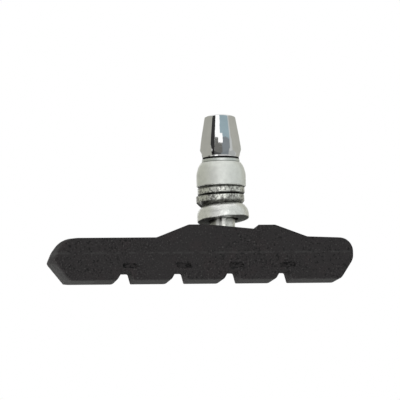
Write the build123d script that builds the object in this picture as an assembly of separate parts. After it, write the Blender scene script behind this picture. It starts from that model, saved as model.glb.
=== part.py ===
from build123d import *

import os
from math import cos, radians, sin, sqrt, tan

# Rim brake pad on a threaded stud. X runs along the pad from nose to heel, Y across it,
# Z up the stud. The origin is the middle of the friction face. All sizes in millimetres.

# Rubber block, its length taken to the nose's tip before that is rounded
pad_length = 69.85
pad_width = 10.0
pad_thickness = 9.85
heel_drop = 0.4
heel_top_radius = 3.2
heel_slant_height = 4.6
heel_slant_radius = 3.2
heel_setback = 3.0
heel_foot_radius = 1.6
edge_radius = 0.25

# Nose: a slanted tip with a bevelled margin on both sides
nose_length = 11.0
nose_tip_height = 4.7
nose_foot_setback = 3.75
nose_top_setback = 2.2
nose_top_radius = 5.2
nose_tip_radius = 0.8
nose_bevel = 1.4
nose_bevel_width = 1.5

# Hump that carries the stud, measured from the stud's axis
stud_offset = 5.4
hump_height = 12.75
hump_heel_drop = 0.15
hump_to_nose = 8.3
hump_to_heel = 11.6
ramp_length = 7.4
ramp_radius = 1.2
seat_to_nose = 4.0
seat_to_heel = 7.2
seat_fall = 1.1
seat_step = 0.6

# Friction blocks: each notch has a sloping trailing flank with a round foot and a steep leading wall
notch_walls = (-15.6, -3.25, 8.8, 20.75)
notch_length = 3.9
notch_depth = 2.3
notch_flank_angle = 60.0
notch_wall_lean = 0.6
notch_round = 1.3
notch_edge_radius = 0.3
notch_corner_radius = 0.45

# Shallow slots in the sides, above the notches
slot_length = 3.4
slot_height = 1.1
slot_depth = 0.45
slot_setback = 0.9
slot_rise = 1.1

# Steel strip moulded into the rubber, with the stud's head under it
plate_length = 46.0
plate_width = 7.0
plate_thickness = 2.0
plate_height = 6.2

# Stud
stud_diameter = 6.0
stud_head_diameter = 9.0
stud_head_thickness = 1.8
stud_engagement = 5.5
stud_end_chamfer = 0.6

# Washers that stay square to the stud
washer_bore = 6.4
outer_cup_diameter = 11.34
outer_cup_height = 5.65
outer_cup_mouth = 10.54
outer_cup_top_diameter = 9.2
outer_cup_shoulder = 2.6
outer_cup_bend = 1.0
outer_cup_bend_diameter = 10.5
outer_cup_round = 3.0
flat_washer_diameter = 8.7
flat_washer_thickness = 0.75
flat_washer_chamfer = 0.12

# Washers that lean: both domes in the outer cup, heel side up, and the inner cup on its own
# dome, with its heading the side that dips. The clamp faces are measured from the hump.
clamp_height = 7.3
dome_lean = 2.0
cup_lean = 5.25
cup_heading = 116.5
inner_slide = -0.19
outer_seat_radius = 6.0
outer_dome_diameter = 10.84
outer_dome_wall = 1.6
outer_dome_rim = 1.46
inner_seat_radius = 7.0
inner_dome_diameter = 11.1
inner_dome_wall = 1.55
inner_dome_rim = 1.54
dome_edge_radius = 0.35
inner_cup_diameter = 11.95
inner_cup_bore = 7.0
inner_cup_height = 3.42
inner_cup_mouth = 9.25
inner_cup_lip = 0.15
inner_cup_shoulder = 2.25
cup_edge_radius = 0.3
seat_clearance = 0.03

# Cap nut: a hexagon that tapers in two stages, on a short turned collar
nut_collar_diameter = 8.4
nut_collar_height = 0.42
nut_height = 9.85
nut_waist_height = 4.75
nut_foot_flats = 8.9
nut_waist_flats = 7.66
nut_top_flats = 6.07
nut_corner_radius = 0.25
nut_turn = -7.0
nut_foot_diameter = 8.6
nut_foot_chamfer = 1.75
nut_barrel_diameter = 9.46
nut_top_diameter = 4.9
nut_top_chamfer = 0.7
nut_bore_clearance = 0.05
nut_bore_spare = 0.2
drill_point_angle = 118.0


def sphere_rise(radius, at):
    """Height of a ball's surface over its centre, at a distance from its axis."""
    return sqrt(radius**2 - at**2)


# Places that follow from the sizes above
nose_x = -pad_length / 2
heel_x = pad_length / 2
nose_joint = nose_x + nose_length
clamp_plane = hump_height + clamp_height
outer_seat_centre = clamp_plane + outer_dome_rim - sphere_rise(outer_seat_radius, outer_dome_diameter / 2)
outer_cup_foot = outer_seat_centre + sphere_rise(outer_seat_radius, outer_cup_mouth / 2)
outer_cup_top = outer_cup_foot + outer_cup_height
inner_seat_centre = clamp_plane - inner_dome_rim + sphere_rise(inner_seat_radius, inner_dome_diameter / 2)
inner_cup_top = inner_seat_centre - sphere_rise(inner_seat_radius, inner_cup_mouth / 2)
inner_cup_foot = inner_cup_top - inner_cup_height
washer_top = outer_cup_top + flat_washer_thickness
nut_foot = washer_top + nut_collar_height
nut_top = nut_foot + nut_height
stud_top = nut_foot + stud_engagement


def rounded_face(corners, radii):
    """A closed outline with a rounding for each corner."""
    return make_face(FilletPolyline(*corners, radius=radii, close=True))


def turned(outline):
    """Revolve a radius and height outline about the stud's axis."""
    return Pos(stud_offset, 0, 0) * revolve(Plane.XZ * make_face(outline), Axis.Z)


def nose_face(inset):
    """Side view of the nose, set back from its tip by the given inset."""
    tip = nose_x + inset
    corners = [
        (nose_joint, 0),
        (nose_joint, pad_thickness),
        (tip + nose_top_setback, pad_thickness),
        (tip, nose_tip_height),
        (tip + nose_foot_setback, 0),
    ]
    return Plane.XZ * rounded_face(corners, [0, 0, nose_top_radius, nose_tip_radius, 0])


def make_nose():
    """Full outline through the middle, drawn in to the bevelled margin at each side."""
    half = pad_width / 2
    core = half - nose_bevel_width
    middle = extrude(nose_face(0), amount=core, both=True)
    margins = []
    for side in (-1, 1):
        inner = Pos(0, side * core, 0) * nose_face(0)
        outer = Pos(0, side * half, 0) * nose_face(nose_bevel)
        margins.append(loft([inner, outer], ruled=True))
    return middle + margins


def notch_face(wall):
    """Side view of a notch whose leading wall meets the friction face at the given X."""
    start = wall - notch_length
    run = notch_depth / tan(radians(notch_flank_angle))
    corners = [
        (start - run, -notch_depth),
        (start + run, notch_depth),
        (wall - notch_wall_lean, notch_depth),
        (wall + notch_wall_lean, -notch_depth),
    ]
    return rounded_face(corners, [0, notch_corner_radius, notch_corner_radius, 0])


def make_block():
    """The notched pad behind its nose, with the ramped hump and its sloping washer seat."""
    heel_hump = hump_height - hump_heel_drop
    corners = [
        (nose_joint, 0),
        (heel_x - heel_setback, 0),
        (heel_x, heel_slant_height),
        (heel_x, pad_thickness - heel_drop),
        (stud_offset + hump_to_heel + ramp_length, pad_thickness),
        (stud_offset + hump_to_heel, heel_hump),
        (stud_offset + seat_to_heel + seat_step, heel_hump),
        (stud_offset + seat_to_heel, hump_height - seat_fall),
        (stud_offset - seat_to_nose, hump_height),
        (stud_offset - hump_to_nose, hump_height),
        (stud_offset - hump_to_nose - ramp_length, pad_thickness),
        (nose_joint, pad_thickness),
    ]
    heel = [heel_foot_radius, heel_slant_radius, heel_top_radius]
    ramp = [ramp_radius, ramp_radius]
    face = rounded_face(corners, [0, *heel, *ramp, 0, 0, 0, *ramp, 0])
    face -= [notch_face(wall) for wall in notch_walls]
    for wall in notch_walls:
        for x, radius in ((wall - notch_length, notch_round), (wall, notch_edge_radius)):
            face = fillet(face.vertices().sort_by_distance((x, 0))[0], radius)
    return extrude(Plane.XZ * face, amount=pad_width / 2, both=True)


def make_slots():
    """Cutters for the slots on both sides, one above each notch."""
    height = notch_depth + slot_rise
    slot = Plane.XZ * SlotOverall(slot_length, slot_height)
    sunk = extrude(slot, amount=slot_depth, both=True)
    places = [(wall - slot_setback, side * pad_width / 2) for wall in notch_walls for side in (-1, 1)]
    return [Pos(x, y, height) * sunk for x, y in places]


def make_stud():
    """Head, plain shank and chamfered end, turned about the stud's axis."""
    radius = stud_diameter / 2
    head_foot = plate_height - stud_head_thickness
    outline = Polyline(
        (0, head_foot),
        (stud_head_diameter / 2, head_foot),
        (stud_head_diameter / 2, plate_height),
        (radius, plate_height),
        (radius, stud_top - stud_end_chamfer),
        (radius - stud_end_chamfer, stud_top),
        (0, stud_top),
        close=True,
    )
    return turned(outline)


def make_plate():
    """Round-ended strip, pierced for the stud."""
    strip = extrude(SlotOverall(plate_length, plate_width), plate_thickness)
    hole = Cylinder(stud_diameter / 2, plate_thickness, align=(Align.CENTER, Align.CENTER, Align.MIN))
    return Pos(0, 0, plate_height) * (strip - Pos(stud_offset, 0, 0) * hole)


def make_pad(plate, stud):
    """Rubber moulded round the plate and the foot of the stud."""
    body = make_nose() + make_block()
    sides = body.faces().filter_by(Axis.Y).sort_by(Axis.Y)
    body = fillet(sides[0].edges() + sides[-1].edges(), edge_radius)
    return body - make_slots() - plate - stud


def make_outer_cup():
    """Tall cup with a rounded shoulder and a hollow ball seat in its foot."""
    rim, bore, mouth = outer_cup_diameter / 2, washer_bore / 2, outer_cup_mouth / 2
    ball = outer_seat_radius + seat_clearance
    seat_top = outer_seat_centre + sphere_rise(ball, bore)
    mouth_height = outer_seat_centre + sphere_rise(ball, mouth)
    seat = RadiusArc((bore, seat_top), (mouth, mouth_height), ball)
    wall = FilletPolyline(
        (mouth, mouth_height),
        (rim, mouth_height),
        (rim, outer_cup_top - outer_cup_shoulder),
        (outer_cup_bend_diameter / 2, outer_cup_top - outer_cup_bend),
        (outer_cup_top_diameter / 2, outer_cup_top),
        (bore, outer_cup_top),
        radius=[cup_edge_radius, outer_cup_round, outer_cup_round, cup_edge_radius],
    )
    return turned([seat, wall, Line((bore, outer_cup_top), (bore, seat_top))])


def make_flat_washer():
    """Plain washer under the nut."""
    rim, bore, edge = flat_washer_diameter / 2, washer_bore / 2, flat_washer_chamfer
    outline = Polyline(
        (bore, outer_cup_top),
        (rim - edge, outer_cup_top),
        (rim, outer_cup_top + edge),
        (rim, washer_top - edge),
        (rim - edge, washer_top),
        (bore, washer_top),
        close=True,
    )
    return turned(outline)


def tipped(solid, height, turn):
    """Turn a washer about a point of the stud's axis."""
    pivot = Pos(stud_offset, 0, height)
    return pivot * turn * pivot.inverse() * solid


def leaning(solid):
    """Tip a washer in the outer cup's ball seat, with its heel side up."""
    return tipped(solid, outer_seat_centre, Rot(Y=-dome_lean))


def make_dome(diameter, wall, rim, seat_radius, up):
    """Flat on one side and round on the other; up is 1 or -1, towards the round side."""
    edge, bore = diameter / 2, diameter / 2 - wall
    rim_height = clamp_plane + up * rim
    bore_height = rim_height + up * (sphere_rise(seat_radius, bore) - sphere_rise(seat_radius, edge))
    side = FilletPolyline(
        (bore, clamp_plane), (edge, clamp_plane), (edge, rim_height), radius=[dome_edge_radius]
    )
    ball = RadiusArc((edge, rim_height), (bore, bore_height), -up * seat_radius)
    hole = Line((bore, bore_height), (bore, clamp_plane))
    return turned([side, ball, hole])


def make_inner_cup():
    """Low cup with a hollow ball seat in its top and a flared flank."""
    rim, bore, mouth = inner_cup_diameter / 2, inner_cup_bore / 2, inner_cup_mouth / 2
    ball = inner_seat_radius + seat_clearance
    seat_foot = inner_seat_centre - sphere_rise(ball, bore)
    mouth_height = inner_seat_centre - sphere_rise(ball, mouth)
    flank_foot = mouth_height - inner_cup_shoulder
    seat = RadiusArc((bore, seat_foot), (mouth, mouth_height), -ball)
    lip = Line((mouth, mouth_height), (mouth + inner_cup_lip, mouth_height))
    flank = TangentArc((rim, flank_foot), (mouth + inner_cup_lip, mouth_height), tangent=(0, 1))
    wall = FilletPolyline(
        (rim, flank_foot), (rim, inner_cup_foot), (bore, inner_cup_foot), radius=[cup_edge_radius]
    )
    hole = Line((bore, inner_cup_foot), (bore, seat_foot))
    return turned([seat, lip, flank, wall, hole])


def hexagon(flats):
    """Hexagon of the given size across flats, with softened corners."""
    face = RegularPolygon(flats / 2, 6, major_radius=False)
    return fillet(face.vertices(), nut_corner_radius)


def make_nut():
    """Two-stage tapered hexagon, trimmed round at foot and top, with a collar and a blind bore."""
    waist = nut_foot + nut_waist_height
    foot_face = Pos(0, 0, nut_foot) * hexagon(nut_foot_flats)
    waist_face = Pos(0, 0, waist) * hexagon(nut_waist_flats)
    top_face = Pos(0, 0, nut_top) * hexagon(nut_top_flats)
    body = loft([foot_face, waist_face], ruled=True) + loft([waist_face, top_face], ruled=True)
    corner = 1 / cos(radians(30))
    top_reach = corner * nut_top_flats / 2 + nut_top_chamfer
    trim = Polyline(
        (0, nut_foot),
        (nut_foot_diameter / 2, nut_foot),
        (nut_barrel_diameter / 2, nut_foot + nut_foot_chamfer),
        (top_reach, nut_top - nut_top_chamfer),
        (nut_top_diameter / 2, nut_top),
        (0, nut_top),
        close=True,
    )
    rim = nut_collar_diameter / 2
    collar = Polyline((0, washer_top), (rim, washer_top), (rim, nut_foot), (0, nut_foot), close=True)
    bore = stud_diameter / 2 + nut_bore_clearance
    bore_top = stud_top + nut_bore_spare
    drill = Polyline(
        (0, washer_top),
        (bore, washer_top),
        (bore, bore_top),
        (0, bore_top + bore / tan(radians(drill_point_angle / 2))),
        close=True,
    )
    hexagonal = Pos(stud_offset, 0, 0) * Rot(Z=nut_turn) * body & turned(trim)
    return hexagonal + turned(collar) - turned(drill)


# The inner pair slides along the clamp faces, and across them until its cup's foot is in line
# with the stud
cup_reach = (inner_seat_centre - inner_cup_foot) * sin(radians(cup_lean))
slid = Pos(inner_slide, cup_reach * sin(radians(cup_heading)), 0)
plate = make_plate()
stud = make_stud()
inner_cup = tipped(make_inner_cup(), inner_seat_centre, Rot(Z=cup_heading) * Rot(Y=cup_lean))
inner_dome = make_dome(inner_dome_diameter, inner_dome_wall, inner_dome_rim, inner_seat_radius, -1)
outer_dome = make_dome(outer_dome_diameter, outer_dome_wall, outer_dome_rim, outer_seat_radius, 1)
nodes = {
    "brake_pad": make_pad(plate, stud),
    "backing_plate": plate,
    "stud": stud,
    "inner_cup_washer": leaning(slid * inner_cup),
    "inner_dome_washer": leaning(slid * inner_dome),
    "outer_dome_washer": leaning(outer_dome),
    "outer_cup_washer": make_outer_cup(),
    "flat_washer": make_flat_washer(),
    "cap_nut": make_nut(),
}

os.makedirs("parts", exist_ok=True)
for name, solid in nodes.items():
    export_step(solid, f"parts/{name}.step")
    print(name, round(solid.volume, 1), solid.bounding_box())
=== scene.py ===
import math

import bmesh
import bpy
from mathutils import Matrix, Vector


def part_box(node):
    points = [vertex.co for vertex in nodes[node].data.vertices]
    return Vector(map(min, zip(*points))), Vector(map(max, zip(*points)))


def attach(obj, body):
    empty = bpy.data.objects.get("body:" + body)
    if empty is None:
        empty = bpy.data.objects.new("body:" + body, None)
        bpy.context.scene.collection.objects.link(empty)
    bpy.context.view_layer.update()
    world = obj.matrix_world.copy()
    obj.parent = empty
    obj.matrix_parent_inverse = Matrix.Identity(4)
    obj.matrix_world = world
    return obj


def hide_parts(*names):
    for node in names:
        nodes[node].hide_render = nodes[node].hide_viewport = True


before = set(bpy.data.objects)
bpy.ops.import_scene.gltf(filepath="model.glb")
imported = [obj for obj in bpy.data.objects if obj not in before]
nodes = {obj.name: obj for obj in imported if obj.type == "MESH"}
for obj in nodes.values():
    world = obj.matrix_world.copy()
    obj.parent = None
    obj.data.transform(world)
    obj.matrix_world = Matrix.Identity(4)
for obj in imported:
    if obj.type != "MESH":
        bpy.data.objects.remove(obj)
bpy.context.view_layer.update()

# %% [markdown]
# This lesson dresses a bicycle rim brake pad: a moulded rubber block on a threaded stud, with a
# stack of washers and a tapered chrome nut. The imported CAD model already gives every piece its
# true size and place, so most pieces only need a finish, and nothing is fitted by eye. Sizes of
# the object are written in millimetres, as on a drawing, and MM turns them into Blender's metres.

MM = 0.001

# %% [markdown]
# The camera, the lamps and the reflecting cards all stand round the object and face it. Their
# places could be typed in as coordinates, but nobody can picture those. A direction is easier to
# picture: an azimuth, which is 0 in front of the pad, and an elevation, as on a globe. They all
# look at one point in the middle of the photograph's frame.

# %% Directions round the object
AIM = Vector((0.41, 0.0, 18.91)) * MM


def towards(azimuth, elevation):
    """Direction from the object to a place round it; azimuth 0 is in front."""
    a = math.radians(azimuth)
    e = math.radians(elevation)
    return Vector((math.sin(a) * math.cos(e), -math.cos(a) * math.cos(e), math.sin(e)))


def facing_aim(way, distance):
    """Place and turn of a camera or a lamp that looks at the aim from one direction."""
    turn = (-way).to_track_quat("-Z", "Y").to_matrix().to_4x4()
    return Matrix.Translation(AIM + way * distance) @ turn


def add_to_scene(name, data):
    """Make an object of a camera, a lamp or a mesh, and put it into the scene."""
    made = bpy.data.objects.new(name, data)
    bpy.context.scene.collection.objects.link(made)
    return made


print("everything faces the point", [round(v, 5) for v in AIM])

# %% [markdown]
# The photograph looks at the side of the pad from a little to the left and a little below,
# through a long lens, and the picture is turned by about one degree. A camera could be dragged
# about until the frame fits. Aiming it and then rolling it about its own axis gives the same
# frame from three angles, and needs no lens shift.

# %% Set up the camera
CAMERA_AZIMUTH = -7.2
CAMERA_ELEVATION = -6.7
CAMERA_ROLL = 1.144
CAMERA_DISTANCE = 0.7
LENS = 274.2
NEAREST_SEEN = 0.01
FARTHEST_SEEN = 20.0
camera_data = bpy.data.cameras.new("photo_camera")
camera_data.lens = LENS
camera_data.clip_start = NEAREST_SEEN
camera_data.clip_end = FARTHEST_SEEN
camera = add_to_scene("photo_camera", camera_data)
roll = Matrix.Rotation(math.radians(-CAMERA_ROLL), 4, "Z")
back = towards(CAMERA_AZIMUTH, CAMERA_ELEVATION)
camera.matrix_world = facing_aim(back, CAMERA_DISTANCE) @ roll
bpy.context.scene.camera = camera
print("camera at", [round(v, 4) for v in camera.matrix_world.translation])

# %% [markdown]
# A material is a graph of nodes. It could be wired link by link, but then the idea drowns in
# bookkeeping. One small class wraps a socket instead: sums, differences, products and abs() of
# wrapped sockets add Math nodes, so that shader maths reads as Python. Its node method adds any
# other node, with its settings first and its socket values or links after.


# %% Wrap a shader socket so that maths reads as Python
class Wire:
    """A socket of one material. Arithmetic on it adds Math nodes to that material."""

    def __init__(self, tree, socket=None):
        self.tree = tree
        self.socket = socket

    def node(self, kind, settings=None, sockets=None, out=0):
        """Add a node: its settings, then values or wires for its sockets; give one output."""
        made = self.tree.nodes.new(kind)
        for name, value in (settings or {}).items():
            setattr(made, name, value)
        for name, value in (sockets or {}).items():
            if isinstance(value, Wire):
                self.tree.links.new(value.socket, made.inputs[name])
            else:
                made.inputs[name].default_value = value
        return Wire(self.tree, made.outputs[out] if made.outputs else None)

    def _math(self, operation, *values):
        return self.node("ShaderNodeMath", {"operation": operation}, dict(enumerate(values)))

    def __add__(self, other):
        return self._math("ADD", self, other)

    def __sub__(self, other):
        return self._math("SUBTRACT", self, other)

    def __rsub__(self, other):
        return self._math("SUBTRACT", other, self)

    def __mul__(self, other):
        return self._math("MULTIPLY", self, other)

    def __abs__(self):
        return self._math("ABSOLUTE", self)

    def either(self, other):
        """The larger of two masks, which is 1 wherever one of them is."""
        return self._math("MAXIMUM", self, other)

    __radd__ = __add__
    __rmul__ = __mul__


print("sockets can now be added, subtracted and multiplied")

# %% [markdown]
# Every finish here follows from the place on the piece: how high it is, how far along, and what a
# cloudy noise says there. Pictures wrapped round the pieces could do this too, but they need
# unwrapping and have seams. Object coordinates stay with the piece. They are turned into
# millimetres, so each width and grain in a finish can be held against the real part.


# %% Places, patterns and soft steps
def millimetres(start):
    """The place on the piece in millimetres, the unit that its details are measured in."""
    place = start.node("ShaderNodeTexCoord", out="Object")
    sockets = {"Vector": place, "Scale": 1 / MM}
    return place.node("ShaderNodeVectorMath", {"operation": "SCALE"}, sockets)


def axis_of(place, name):
    """One coordinate of a place."""
    return place.node("ShaderNodeSeparateXYZ", None, {"Vector": place}, name)


def noise(place, per_mm, detail=3.0, roughness=0.5):
    """Cloudy pattern from 0 to 1: patches in a millimetre, steps of detail, and their strength."""
    sockets = {"Vector": place, "Scale": per_mm, "Detail": detail, "Roughness": roughness}
    return place.node("ShaderNodeTexNoise", None, sockets)


def between(value, low, high):
    """0 below the low value, 1 above the high one, and smooth in the middle."""
    sockets = {"Value": value, "From Min": low, "From Max": high}
    return value.node("ShaderNodeMapRange", {"interpolation_type": "SMOOTHSTEP"}, sockets)


def stretched(mask, least, spread):
    """A mask that starts at the least value instead of 0, and grows by the spread."""
    return least + mask * spread


print("places are read in units of", MM, "m")

# %% [markdown]
# Whatever the finish, its graph starts empty and ends in one Principled shader, with a colour, a
# gloss and a fine unevenness. The unevenness is a pattern of heights. Modelling it would take
# millions of faces, so a Bump node only leans the light by it. Colours pass through Mix nodes,
# because Math nodes would turn them grey.


# %% Colours and surfaces
def new_material(name):
    """An empty material and a wire to start its graph from."""
    material = bpy.data.materials.new(name)
    material.use_nodes = True
    material.node_tree.nodes.clear()
    return material, Wire(material.node_tree)


def grey(level, tint=(1.0, 1.0, 1.0)):
    """A colour of one brightness with a slight tint."""
    return tuple(level * part for part in tint) + (1.0,)


def blend_colours(factor, first, second):
    """First colour where the factor is 0 and second where it is 1."""
    sockets = {"Factor": factor, 6: first, 7: second}
    return factor.node("ShaderNodeMix", {"data_type": "RGBA"}, sockets, 2)


def uneven(heights, strength, rise):
    """Normals that lean as if the surface rose by so many millimetres with a pattern."""
    sockets = {"Strength": strength, "Distance": rise * MM, "Height": heights}
    return heights.node("ShaderNodeBump", None, sockets)


def surface(start, shader):
    """Send a shader to the material's output."""
    start.node("ShaderNodeOutputMaterial", None, {"Surface": shader})


print("materials start empty and end in one shader")

# %% [markdown]
# The pad is one moulding of charcoal rubber, and its finish changes with its shape. The bevel of
# the nose is painted paler than the side, except at its tip: a painted sheen that stands for the
# light the bevel catches from the left. Round the small slots above the notches, painted shade
# darkens their mouths, and their floors are painted lighter. Such places could be picked face by
# face and given materials of their own, but every border would then be a hard line. A mask is
# softer: a value from 0 to 1 that is worked out from heights and distances, and fades softly at
# its borders.

# %% Slots and nose of the pad
PAD_SIDE = 5.0
PAD_TOP = 9.85
NOSE_START = (24.5, 24.8)
BEVEL_DEPTH = (0.0, 0.8)
BEVEL_TOP = (PAD_TOP - 2.6, PAD_TOP - 0.1)
BEVEL_SHEEN = 0.62
TIP_HEIGHT = 4.7
TIP_EDGE = (0.3, 1.2)
TIP_LESS_SHEEN = 0.55
SLOT_PLACES = (-16.5, -4.15, 7.9, 19.85)
SLOT_HEIGHT = 3.4
SLOT_LEVEL = (0.5, 1.0)
SLOT_REACH = (1.3, 2.1)


def depth_in_pad(place):
    """How far a place lies in from the sides of the pad."""
    return PAD_SIDE - abs(axis_of(place, "Y"))


def near_slots(place):
    """1 in the slots of the pad's sides and close round them, and 0 elsewhere."""
    level = 1 - between(abs(axis_of(place, "Z") - SLOT_HEIGHT), *SLOT_LEVEL)
    along = axis_of(place, "X")
    return level * sum(1 - between(abs(along - slot), *SLOT_REACH) for slot in SLOT_PLACES)


def nose_bevel_sheen(place):
    """1 on the bevel of the nose, where sheen is painted, less towards its edges and at its tip.
    """
    height = axis_of(place, "Z")
    nose = between(-1 * axis_of(place, "X"), *NOSE_START)
    inboard = between(depth_in_pad(place), *BEVEL_DEPTH)
    tip = 1 - between(abs(height - TIP_HEIGHT), *TIP_EDGE)
    below_top = 1 - between(height, *BEVEL_TOP)
    # painted sheen: the bevel is painted paler for the light it catches from the left
    return nose * inboard * below_top * (1 - tip * TIP_LESS_SHEEN)


print("masks made for the nose and for", len(SLOT_PLACES), "slots on each side")

# %% [markdown]
# Rubber goes pale where it is rubbed. The rim scuffs the friction face, and hands and tools rub
# the thin parting line that the two halves of the mould left along the side, so that only parts of
# it can still be seen. A noise breaks up both. The painted sheen on the bevel of the nose is added
# here too, because one mask of paleness is all that the material needs.

# %% Worn places and painted sheen of the pad
FRICTION_EDGE = (-0.06, 0.40)
SCUFF_NOISE = 1.1
SCUFF_PALE = (0.24, 0.66)
PARTING_HEIGHT = 6.3
PARTING_EDGE = (0.105, 0.35)
RUBBED_NOISE = 0.5
RUBBED_EDGE = (0.38, 0.58)
PARTING_PALE = 0.36


def wear_and_bevel_sheen(place):
    """How pale the rubber is painted: worn friction face and parting line, and painted sheen on
    the bevel.
    """
    height = axis_of(place, "Z")
    scuffs = stretched(noise(place, SCUFF_NOISE), *SCUFF_PALE)
    friction = (1 - between(height, *FRICTION_EDGE)) * scuffs
    line = 1 - between(abs(height - PARTING_HEIGHT), *PARTING_EDGE)
    rubbed = between(noise(place, RUBBED_NOISE), *RUBBED_EDGE)
    return friction + line * rubbed * PARTING_PALE + nose_bevel_sheen(place) * BEVEL_SHEEN


print("parting line", PARTING_HEIGHT, "mm above the friction face")

# %% [markdown]
# Seen closely, the compound isn't one even black. It is a fine speckle, calmer in some areas and
# warmer in others, with dark pits that gather in places and a few pale grains of filler. Round the
# slots, more pits are painted as painted shade at their mouths, and the floors of the slots are
# painted lighter as painted light against the shade that falls in them. Each of these is a noise
# of its own grain size, cut off where it should begin. One detailed noise would be shorter, but
# then pits and grains couldn't be set apart.

# %% Specks of the rubber
RUBBER_DARK = grey(0.0165, (1.02, 0.93, 0.95))
RUBBER_SPECK = grey(0.045, (1.02, 0.93, 0.94))
RUBBER_EVEN = grey(0.0260, (1.02, 0.93, 0.95))
RUBBER_WARM = grey(0.030, (1.15, 0.92, 0.95))
RUBBER_PIT = grey(0.007)
RUBBER_FILLER = grey(0.068, (1.0, 1.0, 0.95))
WARM_EDGE = (0.5, 0.7)
WARM_SHARE = 0.5
CALM_NOISE = (0.14, 2.0)
CALM_EDGE = (0.45, 0.6)
CALM_SHARE = 0.7
SLOT_FLOOR = (0.1, 0.4)
SLOT_FLOOR_LIGHT = 0.5
GATHER_NOISE = 0.09
GATHER_EDGE = (0.38, 0.60)
GATHER_SHARE = (0.25, 0.75)
PIT_NOISE = (2.1, 1.0)
PIT_EDGE = (0.62, 0.66)
SLOT_SHADE_PITS = 0.10
FILLER_NOISE = (2.6, 1.0)
FILLER_EDGE = (0.655, 0.70)
FILLER_SHARE = 0.8


def rubber_body(place, speckle, cloud):
    """Speckled charcoal with calm and warm areas, pits and grains of filler, painted shade round
    the slots and painted light on their floors.
    """
    body = blend_colours(speckle, RUBBER_DARK, RUBBER_SPECK)
    calm = 1 - between(noise(place, *CALM_NOISE), *CALM_EDGE)
    body = blend_colours(calm * CALM_SHARE, body, RUBBER_EVEN)
    body = blend_colours(between(cloud, *WARM_EDGE) * WARM_SHARE, body, RUBBER_WARM)
    # painted light and shade round the slots: a lighter floor, and more pits at the mouths
    slot_light_and_shade = near_slots(place)
    slot_floor_light = slot_light_and_shade * between(depth_in_pad(place), *SLOT_FLOOR)
    body = blend_colours(slot_floor_light * SLOT_FLOOR_LIGHT, body, RUBBER_SPECK)
    gathered = stretched(between(noise(place, GATHER_NOISE), *GATHER_EDGE), *GATHER_SHARE)
    # more pits round the slots paint the shade at their mouths
    pits = between(noise(place, *PIT_NOISE) + slot_light_and_shade * SLOT_SHADE_PITS, *PIT_EDGE)
    body = blend_colours(pits * (gathered + slot_light_and_shade), body, RUBBER_PIT)
    filler = between(noise(place, *FILLER_NOISE), *FILLER_EDGE)
    return blend_colours(filler * FILLER_SHARE, body, RUBBER_FILLER)


print("rubber darkest at", RUBBER_PIT[0], "and palest at", RUBBER_FILLER[0])

# %% [markdown]
# The surface brings these together. Rubber reflects little, so it is rough and its specular
# level is low. Its skin is a cast of the mould's, which was blasted with sand, so a fine bump
# follows the speckle and a still finer noise. A shiny or perfectly smooth black would look like
# plastic.

# %% Rubber of the pad
# pale colour of worn rubber, also used for the painted sheen on the nose bevel
RUBBER_WEAR_AND_SHEEN = grey(0.062, (1.0, 1.0, 0.98))
RUBBER_ROUGH = (0.62, 0.2)
RUBBER_SPECULAR = 0.2
RUBBER_BUMP = (0.5, 0.06)
BUMP_NOISE = (5.0, 4.0, 0.6)
BUMP_SPECKLE = 0.5
SPECKLE_NOISE = (2.6, 4.0, 0.65)
SPECKLE_EDGE = (0.42, 0.68)
CLOUD_NOISE = (0.25, 2.0)


def make_rubber():
    """Matte speckled compound, paler where it is worn and where sheen is painted on the nose
    bevel.
    """
    material, start = new_material("pad_rubber_speckled")
    place = millimetres(start)
    speckle = between(noise(place, *SPECKLE_NOISE), *SPECKLE_EDGE)
    cloud = noise(place, *CLOUD_NOISE)
    body = rubber_body(place, speckle, cloud)
    grain = noise(place, *BUMP_NOISE) + speckle * BUMP_SPECKLE
    sockets = {
        "Base Color": blend_colours(wear_and_bevel_sheen(place), body, RUBBER_WEAR_AND_SHEEN),
        "Roughness": stretched(cloud, *RUBBER_ROUGH),
        "Specular IOR Level": RUBBER_SPECULAR,
        "Normal": uneven(grain, *RUBBER_BUMP),
    }
    surface(start, start.node("ShaderNodeBsdfPrincipled", None, sockets))
    return material


rubber = make_rubber()
print("made", rubber.name, "with", len(rubber.node_tree.nodes), "nodes")

# %% [markdown]
# The stack is darker in places where shade falls, and that darkness is painted into the colour:
# painted shade along the lower edge of the flat washer, on the nose side of the stud and right
# under the inner cup, and one ragged darker streak near the stud's front. Each of these is a small
# function that says how dark a place is painted.

# %% Where shade is painted on the stack
# dark colour for painted shade, also used for the streak on the stud
PAINTED_DARK = grey(0.012, (1.0, 0.95, 0.85))
WASHER_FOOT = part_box("flat_washer")[0].z / MM
WASHER_EDGE = (WASHER_FOOT + 0.05, WASHER_FOOT + 0.25)
WASHER_FOOT_SHADE = 0.6
STUD_X = 5.4
STUD_SIDE = (1.1, 2.1)
SIDE_SHADE = 0.55
STREAK_X = 4.75
STREAK_NOISE = 1.5
STREAK_RAGGED = 0.6
STREAK_EDGE = (0.40, 0.85)
STREAK_DARK = 0.6
NECK_EDGE = (13.2, 14.0)
UNDER_CUP_SHADE = 0.35


def washer_foot_shade(place):
    """Painted shade on the flat washer: along its lower edge."""
    # painted shade along the washer's lower edge
    return (1 - between(axis_of(place, "Z"), *WASHER_EDGE)) * WASHER_FOOT_SHADE


def stud_shade_and_streak(place):
    """How dark the stud is painted: painted shade on its nose side and under the inner cup, and
    one ragged darker streak.
    """
    along = axis_of(place, "X")
    # painted shade on the stud's nose side
    side = between(STUD_X - along, *STUD_SIDE) * SIDE_SHADE
    ragged = abs(along - STREAK_X) + noise(place, STREAK_NOISE) * STREAK_RAGGED
    streak = (1 - between(ragged, *STREAK_EDGE)) * STREAK_DARK
    # painted shade on the neck, right under the inner cup
    under_cup = between(axis_of(place, "Z"), *NECK_EDGE) * UNDER_CUP_SHADE
    return side + streak + under_cup


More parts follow.
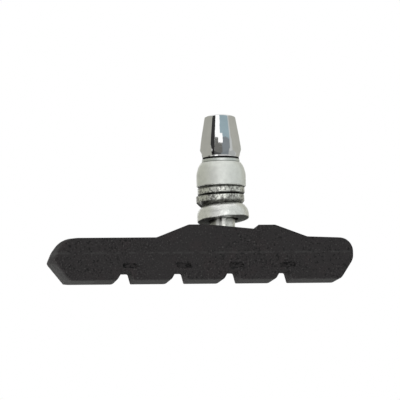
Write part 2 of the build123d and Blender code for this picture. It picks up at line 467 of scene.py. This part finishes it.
print("the flat washer starts", round(WASHER_FOOT, 2), "mm up")

# %% [markdown]
# The plain metal pieces differ in finish, not in kind: satin turned alloy on the outer cup, the
# same alloy worn bright on the inner one, bright zinc on the flat washer and the stud, and bare
# steel on the strip inside the rubber. Each could have a graph of its own. One function and a
# table are shorter, and show at a glance how the finishes differ: two brightnesses that drift
# into each other in patches, a gloss that drifts along with them, and a fine uneven surface.

# %% Plain metal finishes
PATCH_DETAIL = (4.0, 0.6)
PATCH_EDGE = (0.3, 0.7)
METAL_RISE = 0.05
PLAIN_METALS = {
    "cup_satin_alloy": {
        "levels": (0.85, 0.78), "tint": (0.98, 1.0, 0.95), "rough": (0.46, 0.10),
        "patches": 0.9, "bump": 0.15, "grain": 4.0,
    },
    "cup_worn_alloy": {
        "levels": (0.95, 0.74), "tint": (0.99, 1.0, 0.96), "rough": (0.26, 0.14),
        "patches": 1.3, "bump": 0.55, "grain": 3.2,
    },
    "washer_bright_zinc": {
        "levels": (0.72, 0.64), "tint": (0.96, 1.0, 0.96), "rough": (0.34, 0.10),
        "patches": 1.0, "bump": 0.1, "grain": 3.0, "darkening": washer_foot_shade,
    },
    "stud_bright_zinc": {
        "levels": (0.78, 0.44), "tint": (1.0, 1.0, 0.95), "rough": (0.12, 0.12),
        "patches": 0.9, "bump": 0.5, "grain": 1.6, "darkening": stud_shade_and_streak,
    },
    "plate_plain_steel": {
        "levels": (0.42, 0.33), "tint": (1.0, 1.0, 1.0), "rough": (0.35, 0.15),
        "patches": 0.5, "bump": 0.1, "grain": 3.0,
    },
}


def metal_surface(start, colour, rough, normal):
    """Send bare metal of the given colour and gloss to the material's output."""
    sockets = {"Base Color": colour, "Metallic": 1.0, "Roughness": rough, "Normal": normal}
    surface(start, start.node("ShaderNodeBsdfPrincipled", None, sockets))


def make_metal(name, levels, tint, rough, patches, bump, grain, darkening=None):
    """Metal whose colour and gloss vary in patches, with a fine uneven surface."""
    material, start = new_material(name)
    place = millimetres(start)
    cloud = between(noise(place, patches, *PATCH_DETAIL), *PATCH_EDGE)
    bright, dull = (grey(level, tint) for level in levels)
    colour = blend_colours(cloud, bright, dull)
    # painted shade, and the stud's streak, darken the colour where a mask says
    if darkening:
        colour = blend_colours(darkening(place), colour, PAINTED_DARK)
    normal = uneven(noise(place, grain), bump, METAL_RISE)
    metal_surface(start, colour, stretched(cloud, *rough), normal)
    return material


metals = {name: make_metal(name, **look) for name, look in PLAIN_METALS.items()}
print("made", ", ".join(metals))

# %% [markdown]
# Two dome washers sit in the cups, and painted shade darkens the joints above, between and below
# them. A dark ring at a fixed height would be the easy way, but these washers hang slack and lean,
# so a joint isn't at one height. It lies on a leaning plane, the clamp plane or the rim of the
# inner cup, and the height above that plane says how close a place is to the joint.

# %% Painted shade in the joints of the domes
CLAMP_HEIGHT = 20.05
DOME_LEAN = math.radians(2.0)
CUP_LEAN = math.radians(5.25)
CUP_HEADING = math.radians(116.5)
CUP_RIM = 17.35
JOINT_EDGE = (0.05, 0.32)
UPPER_SEAT = (1.2, 1.5)
LOWER_SEAT = (CUP_RIM + 0.1, CUP_RIM + 1.2)
SEAT_SHADE = 0.85


def dome_joint_shade(place):
    """Painted shade in the joints above, between and below the two domes."""
    along = axis_of(place, "X")
    height = axis_of(place, "Z")
    rise = height - along * math.tan(DOME_LEAN)
    above_clamp = rise - (CLAMP_HEIGHT - STUD_X * math.tan(DOME_LEAN))
    joint = 1 - between(abs(above_clamp), *JOINT_EDGE)
    upper = between(above_clamp, *UPPER_SEAT) * SEAT_SHADE
    across = along * math.cos(CUP_HEADING) + axis_of(place, "Y") * math.sin(CUP_HEADING)
    above_cup = height + across * math.tan(CUP_LEAN)
    lower = (1 - between(above_cup, *LOWER_SEAT)) * SEAT_SHADE
    return joint + upper + lower


print("domes lean by", round(math.degrees(DOME_LEAN), 2), "degrees")

# %% [markdown]
# The domes are plated in zinc, in a barrel with hundreds of others that knock against them, so
# bright and dark spots alternate on their rims. One noise gives either spots or a fine grain. A
# coarse and a fine one together give both. The coarse one is shifted, which chooses the part of
# its pattern that falls on the front.

# %% Mottled zinc of the dome washers
ZINC_BRIGHT = grey(0.78, (0.98, 1.0, 0.92))
ZINC_DULL = grey(0.22, (1.0, 0.98, 0.92))
ZINC_SHIFT = (11.9, 21.7, 51.2)
ZINC_COARSE = (0.8, 4.0, 0.65)
ZINC_FINE = (2.2, 3.0, 0.6)
ZINC_COARSE_SHARE = 0.35
ZINC_EDGE = (0.40, 0.60)
ZINC_ROUGH = (0.18, 0.26)
ZINC_BUMP = (0.28, 0.06)
ZINC_BUMP_NOISE = (3.4, 3.0, 0.6)


def shifted(place, by):
    """The place moved along, to choose which part of a pattern falls on a piece."""
    return place.node("ShaderNodeVectorMath", {"operation": "ADD"}, {0: place, 1: by})


def make_zinc():
    """Spotted zinc with painted shade towards the joints of the dome washers."""
    material, start = new_material("dome_mottled_zinc")
    place = millimetres(start)
    coarse = noise(shifted(place, ZINC_SHIFT), *ZINC_COARSE)
    fine = noise(place, *ZINC_FINE)
    spots = between(coarse * ZINC_COARSE_SHARE + fine * (1 - ZINC_COARSE_SHARE), *ZINC_EDGE)
    metal = blend_colours(spots, ZINC_BRIGHT, ZINC_DULL)
    # painted shade in the joints of the domes
    colour = blend_colours(dome_joint_shade(place), metal, PAINTED_DARK)
    normal = uneven(noise(place, *ZINC_BUMP_NOISE), *ZINC_BUMP)
    metal_surface(start, colour, stretched(spots, *ZINC_ROUGH), normal)
    return material


dome_zinc = make_zinc()
print("made", dome_zinc.name)

# %% [markdown]
# The nut is plated in bright chrome, nearly a mirror. What one sees in it is the room, so its
# material only needs a little haze and a ripple of a few thousandths of a millimetre, which keep
# the reflections from looking drawn. Its turned collar sits in the shade of the gap under the
# hexagon, and it is painted black as painted shade and made rough. That shows as a dark line under
# the hexagon.

# %% Chrome of the nut
nut_low, nut_high = (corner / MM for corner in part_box("cap_nut"))
COLLAR_HEIGHT = 0.42
NUT_FOOT = nut_low.z + COLLAR_HEIGHT
NUT_TOP = nut_high.z
CHROME_BRIGHT = grey(0.78)
CHROME_HAZY = grey(0.64)
CHROME_ROUGH = (0.012, 0.02)
HAZE_NOISE = 0.5
RIPPLE_NOISE = (0.6, 2.0)
RIPPLE_BUMP = (0.5, 0.005)
COLLAR_SHADE = grey(0.006)
COLLAR_SHADE_EDGE = (NUT_FOOT - 0.03, NUT_FOOT + 0.02)
COLLAR_ROUGH = 0.6


def make_chrome():
    """Mirror bright metal, with painted shade on the collar below the hexagon."""
    material, start = new_material("nut_polished_chrome")
    place = millimetres(start)
    # painted shade on the collar under the hexagon
    collar_shade = 1 - between(axis_of(place, "Z"), *COLLAR_SHADE_EDGE)
    haze = noise(place, HAZE_NOISE)
    polished = blend_colours(haze, CHROME_BRIGHT, CHROME_HAZY)
    colour = blend_colours(collar_shade, polished, COLLAR_SHADE)
    rough = stretched(haze, *CHROME_ROUGH) + collar_shade * COLLAR_ROUGH
    metal_surface(start, colour, rough, uneven(noise(place, *RIPPLE_NOISE), *RIPPLE_BUMP))
    return material


chrome = make_chrome()
print("made", chrome.name, "for a hexagon that starts", round(NUT_FOOT, 2), "mm up")

# %% [markdown]
# Each solid of the CAD model came in with one plain colour, and now takes its own finish. Both
# domes share one, since they were plated together. Their spots differ all the same, because the
# pattern follows the place and not the piece.

# %% Give the pieces their finishes
finishes = {
    "brake_pad": rubber,
    "backing_plate": metals["plate_plain_steel"],
    "stud": metals["stud_bright_zinc"],
    "inner_cup_washer": metals["cup_worn_alloy"],
    "inner_dome_washer": dome_zinc,
    "outer_dome_washer": dome_zinc,
    "outer_cup_washer": metals["cup_satin_alloy"],
    "flat_washer": metals["washer_bright_zinc"],
    "cap_nut": chrome,
}
for name, material in finishes.items():
    nodes[name].data.materials.clear()
    nodes[name].data.materials.append(material)
print("finished", len(finishes), "pieces")

# %% [markdown]
# Two pieces need more than a finish and are modelled again. A bmesh is Blender's workbench for
# that: a mesh that operators spin, extrude and cut. It isn't in the scene yet, so a finished
# bmesh is written to a mesh, which gets its material and an object. Objects stay at the origin,
# unturned and unscaled, and their place is in their mesh. Finishes that read Object coordinates
# then mean the same millimetres on every piece.


# %% From a bmesh to an object
def to_object(bm, name, material):
    """Turn a finished bmesh into an object with one material."""
    mesh = bpy.data.meshes.new(name)
    bm.to_mesh(mesh)
    bm.free()
    mesh.materials.append(material)
    return add_to_scene(name, mesh)


def to_piece(bm, name, material):
    """The same for a bmesh that was modelled in millimetres."""
    bmesh.ops.scale(bm, vec=(MM, MM, MM), verts=bm.verts)
    return to_object(bm, name, material)


print("one unit of a piece's bmesh becomes", MM, "m")

# %% [markdown]
# The nut is the piece that catches the eye. On the real one, hexagonal bar is drawn to a taper
# and polished, so its facets aren't quite flat. Dead flat facets, as the CAD nut has, would each
# mirror one even patch of the room. The new nut therefore starts as the real one does, from the
# section of the bar: a hexagon with rounded corners, whose flats are cut into short edges and
# crowned by a few hundredths of a millimetre.

# %% Section of the nut's bar
NUT_FLATS = (8.9, 7.66, 6.07)
NUT_CORNER = 0.28
NUT_CORNER_STEPS = 4
NUT_CROWN = 0.06
NUT_CROWN_CUTS = 9
FLAT_AT_LEAST = 0.9
SIXTH = math.radians(60)


def crown_facets(bm, half_flat):
    """Push the points of each flat outwards, most in its middle."""
    for vert in bm.verts:
        angle = math.atan2(vert.co.y, vert.co.x)
        middle = (math.floor(angle / SIXTH) + 0.5) * SIXTH
        outward = Vector((math.cos(middle), math.sin(middle), 0))
        across = vert.co.dot(Vector((-outward.y, outward.x, 0))) / half_flat
        if abs(across) < 1:
            vert.co += outward * NUT_CROWN * (1 - across**2)


def hexagon():
    """One face with six crowned flats and rounded corners, about the origin."""
    bm = bmesh.new()
    bmesh.ops.create_circle(bm, cap_ends=True, segments=6, radius=NUT_FLATS[0] / math.sqrt(3))
    bmesh.ops.rotate(bm, verts=bm.verts, matrix=Matrix.Rotation(SIXTH / 2, 3, "Z"))
    bmesh.ops.bevel(
        bm, geom=bm.verts[:], offset=NUT_CORNER, offset_type="OFFSET",
        segments=NUT_CORNER_STEPS, profile=0.5, affect="VERTICES", material=-1,
    )
    longest = max(edge.calc_length() for edge in bm.edges)
    flats = [edge for edge in bm.edges if edge.calc_length() > longest * FLAT_AT_LEAST]
    bmesh.ops.subdivide_edges(bm, edges=flats, cuts=NUT_CROWN_CUTS)
    crown_facets(bm, longest / 2)
    return bm


section = hexagon()
print("section with", len(section.verts), "points")

# %% [markdown]
# The section is pulled up to a bar in two stages, which taper by different amounts. A cone cut
# to six sides could give the same outline, but extruding keeps the crown and the corners and
# scales them with the taper. The face between the stages would be a wall inside the metal, so it
# is deleted. The nut came to rest a few degrees from square, so the bar is turned by that.

# %% Hexagonal bar of the nut
NUT_WAIST = NUT_FOOT + 4.75
NUT_TURN = math.radians(-7.0)


def pull_up(bm, height, taper):
    """Extrude the topmost face by a height, scale what was raised, and give the old face."""
    top = max(bm.faces, key=lambda face: face.calc_center_median().z)
    raised = bmesh.ops.extrude_face_region(bm, geom=[top])["geom"]
    verts = [part for part in raised if isinstance(part, bmesh.types.BMVert)]
    bmesh.ops.scale(bm, vec=(taper, taper, 1), verts=verts)
    bmesh.ops.translate(bm, vec=(0, 0, height), verts=verts)
    return top


def make_bar(bm):
    """Hexagonal bar that tapers in two stages and stands on the collar."""
    pull_up(bm, NUT_WAIST - NUT_FOOT, NUT_FLATS[1] / NUT_FLATS[0])
    inside = pull_up(bm, NUT_TOP - NUT_WAIST, NUT_FLATS[2] / NUT_FLATS[1])
    bmesh.ops.delete(bm, geom=[inside], context="FACES_ONLY")
    bmesh.ops.rotate(bm, verts=bm.verts, matrix=Matrix.Rotation(NUT_TURN, 3, "Z"))
    bmesh.ops.translate(bm, vec=(STUD_X, 0, NUT_FOOT), verts=bm.verts)
    bmesh.ops.recalc_face_normals(bm, faces=bm.faces)
    return to_piece(bm, "hexagon_nut", chrome)


nut = make_bar(section)
print("bar of", len(nut.data.polygons), "faces,", round(NUT_TOP - NUT_FOOT, 2), "mm long")

# %% [markdown]
# A lathe makes round things from a profile, and so does spin: an outline of radii and heights,
# carried once round the stud's axis, is a turned body. Cylinders and cones could be stacked
# instead, but they leave walls inside each other. One outline is one closed skin. Its two ends
# lie on the axis, where a spin leaves many points in one place, so they are merged.

# %% Turned bodies
SPIN_WELD = 0.0005


def open_outline(bm, outline):
    """A chain of points and edges beside the stud's axis, from radius and height pairs."""
    verts = [bm.verts.new((STUD_X + radius, 0, height)) for radius, height in outline]
    edges = [bm.edges.new(pair) for pair in zip(verts, verts[1:])]
    return [*verts, *edges]


def spin_outline(bm, outline, steps):
    """Revolve an outline about the stud's axis into a shell."""
    bmesh.ops.spin(
        bm, geom=open_outline(bm, outline), cent=(STUD_X, 0, 0), axis=(0, 0, 1),
        angle=math.tau, steps=steps, use_merge=True,
    )
    bmesh.ops.remove_doubles(bm, verts=bm.verts, dist=SPIN_WELD)
    bmesh.ops.recalc_face_normals(bm, faces=bm.faces)


print("outlines are spun about x =", STUD_X, "mm")

# %% [markdown]
# On the lathe, the ends of the bar are then cut round and a hole is drilled. Boolean modifiers
# do the same: one body keeps, adds or takes away the space of another. Trimming tapered, crowned
# facets along curved edges by hand would need far more steps. A Boolean leaves doubled points
# where its cuts meet, so a piece is welded afterwards, and its shading is smooth except at edges
# that are meant to be sharp.

# %% Cut with turned bodies
TURNING_STEPS = 96
WELD = 0.001


def combine(piece, operation, name, outline):
    """Apply a Boolean with a turned body, which is dropped afterwards."""
    bm = bmesh.new()
    spin_outline(bm, outline, TURNING_STEPS)
    body = to_piece(bm, name, chrome)
    modifier = piece.modifiers.new("cut", "BOOLEAN")
    modifier.operation = operation
    modifier.object = body
    modifier.solver = "EXACT"
    graph = bpy.context.evaluated_depsgraph_get()
    mesh = bpy.data.meshes.new_from_object(piece.evaluated_get(graph))
    piece.modifiers.clear()
    piece.data = mesh
    bpy.data.objects.remove(body)


def weld(piece):
    """Merge doubled points, turn the faces outwards, and give the volume in mm3."""
    bm = bmesh.new()
    bm.from_mesh(piece.data)
    bmesh.ops.remove_doubles(bm, verts=bm.verts, dist=WELD * MM)
    bmesh.ops.recalc_face_normals(bm, faces=bm.faces)
    volume = bm.calc_volume(signed=True) / MM**3
    bm.to_mesh(piece.data)
    bm.free()
    return volume


def shade_by_angle(piece, degrees):
    """Smooth shading that breaks at edges sharper than the given angle."""
    piece.data.shade_smooth()
    piece.data.set_sharp_from_angle(angle=math.radians(degrees))


print("a turned body has", TURNING_STEPS, "sides")

# %% [markdown]
# The nut now gets what the photograph shows. Its foot narrows in a cone, with a thin chamfered
# band below, and its top is chamfered: those are one blank, and the nut keeps what is inside it.
# The collar below is added, and the bore of the stud, with the point that a drill leaves, is
# taken away. The finished nut rides on the pad's body, stands in for the CAD nut, and keeps its
# material slot.

# %% Turn and drill the nut
BAND_HEIGHT = 0.3
CONE_HEIGHT = 1.75
TOP_CHAMFER = 0.7
COLLAR_RADIUS = 4.2
COLLAR_TOP = NUT_FOOT + 0.3
NUT_BORE = 3.05
DRILL_START = NUT_FOOT - 2
DRILL_END = NUT_FOOT + 5.7
DRILL_POINT = DRILL_END + 1.8
NUT_SHARP_EDGE = 20
BLANK_OUTLINE = (
    (0, NUT_FOOT), (4.18, NUT_FOOT), (4.34, NUT_FOOT + BAND_HEIGHT),
    (4.73, NUT_FOOT + CONE_HEIGHT), (4.2, NUT_TOP - TOP_CHAMFER), (2.45, NUT_TOP), (0, NUT_TOP),
)
COLLAR_OUTLINE = (
    (0, nut_low.z), (COLLAR_RADIUS, nut_low.z), (COLLAR_RADIUS, COLLAR_TOP), (0, COLLAR_TOP),
)
DRILL_OUTLINE = (
    (0, DRILL_START), (NUT_BORE, DRILL_START), (NUT_BORE, DRILL_END), (0, DRILL_POINT),
)
combine(nut, "INTERSECT", "turned_blank", BLANK_OUTLINE)
combine(nut, "UNION", "turned_collar", COLLAR_OUTLINE)
combine(nut, "DIFFERENCE", "drilled_bore", DRILL_OUTLINE)
nut_volume = weld(nut)
shade_by_angle(nut, NUT_SHARP_EDGE)
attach(nut, "root")
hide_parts("cap_nut")
print("nut has", len(nut.data.polygons), "faces and", round(nut_volume), "mm3 of metal")

# %% [markdown]
# The stud is an M6 screw, and the CAD model leaves its thread out. A real screw is cut off level
# and chamfered, so that it finds its nut. A helix could be worked out to end at exactly the right
# height, but it is easier to make it too long and to trim it. One function here cuts a shell
# level, and another pulls the points near the stud's end in to a cone.

# %% Trim the end of a screw
stud_low, stud_high = (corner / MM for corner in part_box("stud"))
STUD_HEAD = stud_low.z
STUD_TOP = stud_high.z
STUD_RADIUS = 3.0
END_CHAMFER = 0.6
CUT_WIDTH = 0.0001


def cut_level(bm, height, keep_below):
    """Cut a shell at one height and drop the part on the other side."""
    bmesh.ops.bisect_plane(
        bm, geom=[*bm.verts, *bm.edges, *bm.faces], dist=CUT_WIDTH, plane_co=(0, 0, height),
        plane_no=(0, 0, 1), clear_outer=keep_below, clear_inner=not keep_below,
    )


def chamfer_end(bm):
    """Pull the points near the stud's end in to a cone."""
    for vert in bm.verts:
        away = Vector((vert.co.x - STUD_X, vert.co.y, 0))
        limit = STUD_RADIUS - END_CHAMFER + (STUD_TOP - vert.co.z)
        if away.length > limit:
            vert.co -= away * (1 - limit / away.length)


print("stud from", round(STUD_HEAD, 2), "to", round(STUD_TOP, 2), "mm, with a chamfered end")

# %% [markdown]
# Rollers press the thread into the stud: one small tooth, carried round and up. It could be drawn
# as a helix with a profile swept along it, but spinning the outline of a single pitch, with a
# lift at each step, is enough, because every turn then meets the next. The spare turns at both
# ends are trimmed away.

# %% Thread of the stud
PITCH = 1.0
THREAD_ROOT = 2.42
THREAD_CREST = 2.985
THREAD_START = 18.0
THREAD_STEPS = 36
SPARE_TURNS = 2
SPARE_BELOW = 1.5
TOOTH = (
    (THREAD_ROOT, 0.0), (THREAD_ROOT, 0.13), (THREAD_CREST, 0.44),
    (THREAD_CREST, 0.56), (THREAD_ROOT, 0.87), (THREAD_ROOT, PITCH),
)


def make_thread():
    """Helical ridge from its start to the stud's end, open at both."""
    bm = bmesh.new()
    turns = math.ceil((STUD_TOP - THREAD_START) / PITCH) + SPARE_TURNS
    low = THREAD_START - PITCH * SPARE_BELOW
    outline = [(radius, low + height) for radius, height in TOOTH]
    bmesh.ops.spin(
        bm, geom=open_outline(bm, outline), cent=(STUD_X, 0, 0), axis=(0, 0, 1),
        angle=math.tau * turns, steps=THREAD_STEPS * turns, dvec=(0, 0, PITCH / THREAD_STEPS),
    )
    bmesh.ops.remove_doubles(bm, verts=bm.verts, dist=WELD)
    cut_level(bm, THREAD_START, keep_below=False)
    cut_level(bm, STUD_TOP, keep_below=True)
    chamfer_end(bm)
    return bm


thread = make_thread()
print("thread of", len(thread.faces), "faces from", THREAD_START, "to", round(STUD_TOP, 2), "mm")

# %% [markdown]
# The rest of the stud is plain: a flat head that is moulded into the rubber, and the bare neck
# that shows above the hump. Both are one spun outline. The neck and the thread could simply
# overlap, but then the stud wouldn't be one closed body. Instead both rims stay open and a
# bridge of faces joins them, where the washers hide it.

# %% Head and neck of the stud
HEAD_RADIUS = 4.5
HEAD_TOP = STUD_HEAD + 1.8
SHANK_END = 17.4
STUD_SHARP_EDGE = 25
SHANK_OUTLINE = (
    (0, STUD_HEAD), (HEAD_RADIUS, STUD_HEAD), (HEAD_RADIUS, HEAD_TOP),
    (STUD_RADIUS, HEAD_TOP), (STUD_RADIUS, SHANK_END),
)


def rim_at(bm, height):
    """The open edges that lie at one height."""
    return [
        edge for edge in bm.edges
        if edge.is_boundary and all(abs(vert.co.z - height) < WELD for vert in edge.verts)
    ]


def add_shank(bm):
    """Put the plain head and neck beside the thread, in the same bmesh."""
    shank = bmesh.new()
    spin_outline(shank, SHANK_OUTLINE, THREAD_STEPS * 2)
    plain = bpy.data.meshes.new("plain_shank")
    shank.to_mesh(plain)
    shank.free()
    bm.from_mesh(plain)
    bpy.data.meshes.remove(plain)


def make_stud(bm):
    """Close the thread's end and join thread, neck and head into one shell."""
    bmesh.ops.contextual_create(bm, geom=rim_at(bm, STUD_TOP))
    add_shank(bm)
    bmesh.ops.bridge_loops(bm, edges=[*rim_at(bm, SHANK_END), *rim_at(bm, THREAD_START)])
    bmesh.ops.triangulate(bm, faces=[face for face in bm.faces if len(face.verts) > 4])
    bmesh.ops.recalc_face_normals(bm, faces=bm.faces)
    return to_piece(bm, "threaded_stud", metals["stud_bright_zinc"])


stud = make_stud(thread)
stud_volume = weld(stud)
shade_by_angle(stud, STUD_SHARP_EDGE)
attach(stud, "root")
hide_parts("stud")
print("stud has", len(stud.data.polygons), "faces and", round(stud_volume), "mm3 of metal")

# %% [markdown]
# The pad stands on its friction face on a plain pale floor, a grid of one face. The photograph
# looks up at it from below that floor, so the floor's underside lets the view through: Geometry's
# Backfacing chooses between a diffuse and a transparent shader. The floor takes the object's
# shadow when it is seen from above, and it neither shades the object nor mirrors in it.

# %% Floor
FLOOR_SIZE = 6.0
FLOOR_GAP = 0.0001
FLOOR_LEVEL = 0.85
floor_material, start = new_material("floor_pale")
pale = start.node("ShaderNodeBsdfDiffuse", None, {"Color": grey(FLOOR_LEVEL)})
clear = start.node("ShaderNodeBsdfTransparent")
underside = start.node("ShaderNodeNewGeometry", out="Backfacing")
surface(start, start.node("ShaderNodeMixShader", None, {0: underside, 1: pale, 2: clear}))
floor_bm = bmesh.new()
bmesh.ops.create_grid(floor_bm, x_segments=1, y_segments=1, size=FLOOR_SIZE / 2)
bmesh.ops.translate(floor_bm, verts=floor_bm.verts, vec=(0, 0, -FLOOR_GAP))
floor = to_object(floor_bm, "floor", floor_material)
floor.visible_diffuse = False
floor.visible_glossy = False
floor.visible_transmission = False
floor.visible_shadow = False
print("floor", FLOOR_SIZE, "m across")

# %% [markdown]
# The photograph was taken in a bright even room. A world of one white would give the white
# background, but it would also light the pad so strongly that the pale washers lose their shape.
# So the world is white only where the camera, a mirror or glass looks at it, and less than half
# as strong as a light. Light Path tells which kind of ray is asking.

# %% World
WORLD_LIGHT = 0.45
world = bpy.data.worlds.new("studio")
bpy.context.scene.world = world
world.use_nodes = True
world.node_tree.nodes.clear()
start = Wire(world.node_tree)
kinds = ("Is Camera Ray", "Is Glossy Ray", "Is Transmission Ray")
camera_ray, mirror_ray, glass_ray = (start.node("ShaderNodeLightPath", out=kind) for kind in kinds)
seen = camera_ray.either(mirror_ray).either(glass_ray)
strength = WORLD_LIGHT + seen * (1 - WORLD_LIGHT)
sky = start.node("ShaderNodeBackground", None, {"Color": grey(1.0), "Strength": strength})
start.node("ShaderNodeOutputWorld", None, {"Surface": sky})
print("world light", WORLD_LIGHT)

# %% [markdown]
# Soft panels then give the shapes their light and dark sides, as soft boxes do in a studio: one
# above on the left, a stronger one beside the nose, one below, because the photograph shows the
# underside, and one behind for the far side. Mirrors don't see them. What the chrome reflects is
# chosen on its own in the next step.

# %% Lamps
PANEL_DISTANCE = 1.0
PANELS = (
    ("key_panel", -40, 35, 0.5, 2.0),
    ("side_panel", -80, -15, 0.5, 6.0),
    ("low_panel", -20, -60, 0.5, 2.0),
    ("back_panel", 130, 35, 0.6, 4.0),
)


def add_panel(name, azimuth, elevation, size, power):
    """A square soft lamp that faces the object and isn't mirrored in it."""
    lamp = bpy.data.lights.new(name, "AREA")
    lamp.shape = "SQUARE"
    lamp.size = size
    lamp.energy = power
    panel = add_to_scene(name, lamp)
    panel.matrix_world = facing_aim(towards(azimuth, elevation), PANEL_DISTANCE)
    panel.visible_glossy = False


for panel_values in PANELS:
    add_panel(*panel_values)
print("lit by", len(PANELS), "soft panels")

# %% [markdown]
# Polished metal shows the room it stands in. A photographer hangs grey, black and white cards
# round such a piece until its reflections read well, and so does this scene. A card is an
# upright edge, spun part of the way round the object, and only mirrors see it. Painting the
# stripes on the nut would be simpler, but they would stay put when the view moves, as no
# reflection does. The first cards are the room itself: its left, front, right and back.

# %% Cards of the room
CARD_RADIUS = 1.2
CARD_STEP = 5
BEIGE = (1.0, 1.0, 0.90)
COOL = (0.97, 1.0, 0.98)
ROOM_CARDS = (
    ("left_grey_card", (-155, -62), (-25, 55), grey(0.48, BEIGE), 0.0),
    ("left_pale_card", (-62, -24), (-25, 55), grey(0.70), 0.0),
    ("front_card", (-24, 20), (-14, 21.5), grey(0.8), 0.0),
    ("lamp_card", (-43, 30), (-9, 20), grey(1.35), 0.1),
    ("right_pale_card", (20, 102), (-14, 55), grey(0.68, (0.97, 1.0, 0.99)), 0.0),
    ("right_grey_card", (102, 155), (-25, 55), grey(0.51, (1.0, 1.0, 0.91)), 0.0),
    ("back_low_card", (155, 205), (-40, -2), grey(0.075, (0.95, 1.0, 0.95)), 0.0),
)


def card_colour(name, colour):
    """A material that glows evenly in one colour."""
    material, start = new_material(name)
    surface(start, start.node("ShaderNodeEmission", None, {"Color": colour}))
    return material


def add_card(name, azimuths, elevations, colour, closer):
    """A curved card round the object, spun from an upright edge, that only mirrors see."""
    bm = bmesh.new()
    reach = CARD_RADIUS - closer
    ends = [bm.verts.new(AIM + towards(azimuths[0], tilt) * reach) for tilt in elevations]
    edge = bm.edges.new(ends)
    sweep = azimuths[1] - azimuths[0]
    bmesh.ops.spin(
        bm, geom=[*ends, edge], cent=AIM, axis=(0, 0, 1),
        angle=math.radians(sweep), steps=max(2, round(sweep / CARD_STEP)),
    )
    card = to_object(bm, name, card_colour(name, colour))
    card.visible_camera = False
    card.visible_diffuse = False
    card.visible_shadow = False


for card_values in ROOM_CARDS:
    add_card(*card_values)
print("hung", len(ROOM_CARDS), "cards round the room")

# %% [markdown]
# The nut's front facet leans back, so it mirrors a narrow band of the room, some 20 to 28 degrees
# up. That band gets cards of its own, which show as the stripes in the photograph: black along
# the left corner, then white, then blue above and slate below, with a short white stripe where
# the two tapers meet. The lower taper is the steeper one, so it mirrors the lower cards.

# %% Cards for the nut's front facet
UPPER_TAPER = (24.8, 28)
LOWER_TAPER = (21.5, 24.8)
FACET_CARDS = (
    ("black_card", (-60, -10.2), (19.0, 28), grey(0.045), 0.35),
    ("white_card", (-10.2, -6.5), UPPER_TAPER, grey(1.5), 0.0),
    ("blue_card", (-6.5, 20), UPPER_TAPER, (0.40, 0.52, 0.57, 1.0), 0.0),
    ("dusk_card", (-10.2, -5.0), LOWER_TAPER, (0.20, 0.20, 0.19, 1.0), 0.0),
    ("slate_card", (-5.0, 20), LOWER_TAPER, (0.28, 0.31, 0.33, 1.0), 0.0),
    ("stripe_card", (-7.7, -4.5), (24.2, 25.25), grey(1.5), 0.1),
)
for card_values in FACET_CARDS:
    add_card(*card_values)
print("hung", len(FACET_CARDS), "cards for the front facet")

# %% [markdown]
# The nut's turned foot narrows downwards, so it mirrors what is below: its cone a band some 14 to
# 35 degrees down, and the thin chamfer under it a band that is lower still. Two more rings of
# cards continue the facets' greys and blacks down there. Without them the foot would mirror the
# white room and shine like a ring of light.

# %% Cards for the nut's foot
CONE_BAND = (-35, -14)
CHAMFER_BAND = (-75, -38)
FOOT_CLOSER = 0.1
FOOT_CARDS = (
    ("low_left_card", (-120, -66), CONE_BAND, grey(0.48, BEIGE)),
    ("low_black_card", (-66, -47), CONE_BAND, grey(0.02)),
    ("low_dusk_card", (-47, -3), CONE_BAND, grey(0.10)),
    ("low_slate_card", (-3, 46), CONE_BAND, (0.25, 0.28, 0.30, 1.0)),
    ("low_pale_card", (46, 100), CONE_BAND, grey(0.52, COOL)),
    ("foot_left_card", (-120, -66), CHAMFER_BAND, grey(0.48, BEIGE)),
    ("foot_black_card", (-66, -52), CHAMFER_BAND, grey(0.04)),
    ("foot_white_card", (-52, -28), CHAMFER_BAND, grey(1.8)),
    ("foot_dusk_card", (-28, -14), CHAMFER_BAND, grey(0.2)),
    ("foot_pale_card", (-14, 100), CHAMFER_BAND, grey(0.56, COOL)),
)
for card_values in FOOT_CARDS:
    add_card(*card_values, FOOT_CLOSER)
print("hung", len(FOOT_CARDS), "cards for the foot")

# %% [markdown]
# Last, the view transform is set to Standard, so a colour shows as it is written. The finished
# model has to keep the CAD model's size.

# %% Set the view transform
bpy.context.scene.view_settings.view_transform = "Standard"
